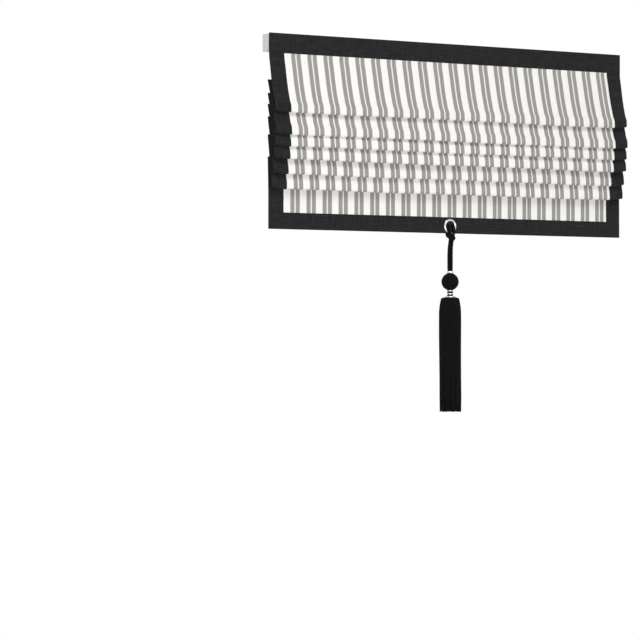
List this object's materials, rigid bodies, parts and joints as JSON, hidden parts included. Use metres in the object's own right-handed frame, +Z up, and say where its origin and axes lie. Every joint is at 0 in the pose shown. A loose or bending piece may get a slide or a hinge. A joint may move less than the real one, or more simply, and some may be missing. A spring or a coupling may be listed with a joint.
{
  "type": "roman blind",
  "caption": "Roman blind, half raised: bordered striped cloth in soft folds on a slim headrail, lifted by tapes on a sprung shaft, with a chrome eyelet and a black tassel at the hem.",
  "frame": {"origin": "on the wall plane, in the middle of the four screw holes of the two wall brackets", "axes": "X along the headrail to the right as seen from the room, Y into the wall, Z up"},
  "size_m": [1, 0.0678, 0.8731],
  "materials": {
    "rail_white": "satin",
    "plastic_white": "satin",
    "bracket_steel": "satin",
    "fastening_white": "matte",
    "cloth_striped": "matte",
    "cloth_charcoal": "matte",
    "cloth_lining": "matte",
    "tape_white": "matte",
    "rod_glass": "satin",
    "shaft_alu": "satin",
    "motor_grey": "satin",
    "bar_alu": "satin",
    "chrome": "polished",
    "cord_black": "matte",
    "skirt_black": "matte"
  },
  "bodies": {
    "headrail": {"headrail": "rail_white", "end_cap_left": "plastic_white", "end_cap_right": "plastic_white", "wall_bracket_left": "bracket_steel", "wall_bracket_right": "bracket_steel", "hook_tape": "fastening_white", "loop_tape": "fastening_white", "band_top": "cloth_charcoal", "face_cloth": "cloth_striped", "side_band_left": "cloth_charcoal", "side_band_right": "cloth_charcoal", "lining": "cloth_lining", "spring_motor": "motor_grey", "spool_cradle_left": "plastic_white", "spool_cradle_centre": "plastic_white", "spool_cradle_right": "plastic_white", "lift_tape_left": "tape_white", "lift_tape_centre": "tape_white", "lift_tape_right": "tape_white"},
    "shaft": {"lift_shaft": "shaft_alu", "tape_spool_left": "plastic_white", "tape_spool_centre": "plastic_white", "tape_spool_right": "plastic_white", "tape_coil_left": "tape_white", "tape_coil_centre": "tape_white", "tape_coil_right": "tape_white"},
    "rod_1": {"fold_rod_1": "rod_glass", "rod_loops_1": "plastic_white"},
    "rod_2": {"fold_rod_2": "rod_glass", "rod_loops_2": "plastic_white"},
    "rod_3": {"fold_rod_3": "rod_glass", "rod_loops_3": "plastic_white"},
    "rod_4": {"fold_rod_4": "rod_glass", "rod_loops_4": "plastic_white"},
    "rod_5": {"fold_rod_5": "rod_glass", "rod_loops_5": "plastic_white"},
    "bottom": {"bottom_bar": "bar_alu", "bar_plug_left": "plastic_white", "bar_plug_right": "plastic_white", "tape_clips": "plastic_white", "band_bottom": "cloth_charcoal", "eyelet": "chrome", "eyelet_washer": "chrome", "fold_rod_6": "rod_glass", "rod_loops_6": "plastic_white"},
    "tassel_loop": {"tassel_cord": "cord_black"},
    "tassel": {"tassel_collar": "chrome", "tassel_ball": "cord_black", "tassel_neck": "chrome", "tassel_skirt": "skirt_black"}
  },
  "joints": [
    {"name": "lift", "type": "slide", "parent": "headrail", "child": "bottom", "axis": [0, 0, 1], "range_m": [-1.08, 0.1], "deforming": ["face_cloth", "side_band_left", "side_band_right", "lining", "lift_tape_left", "lift_tape_centre", "lift_tape_right"]},
    {"name": "shaft_turn", "type": "hinge", "parent": "headrail", "child": "shaft", "pos_m": [0, -0.0145, 0], "axis": [1, 0, 0], "range_deg": [-600, 6220]},
    {"name": "rod_1_lift", "type": "slide", "parent": "headrail", "child": "rod_1", "axis": [0, 0, 1], "range_m": [-0.159, 0.016]},
    {"name": "rod_2_lift", "type": "slide", "parent": "headrail", "child": "rod_2", "axis": [0, 0, 1], "range_m": [-0.357, 0.034]},
    {"name": "rod_3_lift", "type": "slide", "parent": "headrail", "child": "rod_3", "axis": [0, 0, 1], "range_m": [-0.557, 0.052]},
    {"name": "rod_4_lift", "type": "slide", "parent": "headrail", "child": "rod_4", "axis": [0, 0, 1], "range_m": [-0.754, 0.071]},
    {"name": "rod_5_lift", "type": "slide", "parent": "headrail", "child": "rod_5", "axis": [0, 0, 1], "range_m": [-0.934, 0.087]},
    {"name": "tassel_swing", "type": "hinge", "parent": "bottom", "child": "tassel_loop", "pos_m": [0, -0.02765, -0.4105], "axis": [0, 1, 0], "range_deg": [-30, 30]},
    {"name": "tassel_tilt", "type": "hinge", "parent": "tassel_loop", "child": "tassel", "pos_m": [0, -0.02765, -0.514], "axis": [1, 0, 0], "range_deg": [-40, 15]}
  ],
  "couplings": [
    {"joint": "shaft_turn", "follows": "lift", "rad_per_m": -100},
    {"joint": "rod_1_lift", "follows": "lift", "ratio": 0.1463},
    {"joint": "rod_2_lift", "follows": "lift", "ratio": 0.3298},
    {"joint": "rod_3_lift", "follows": "lift", "ratio": 0.5147},
    {"joint": "rod_4_lift", "follows": "lift", "ratio": 0.6974},
    {"joint": "rod_5_lift", "follows": "lift", "ratio": 0.8639}
  ]
}
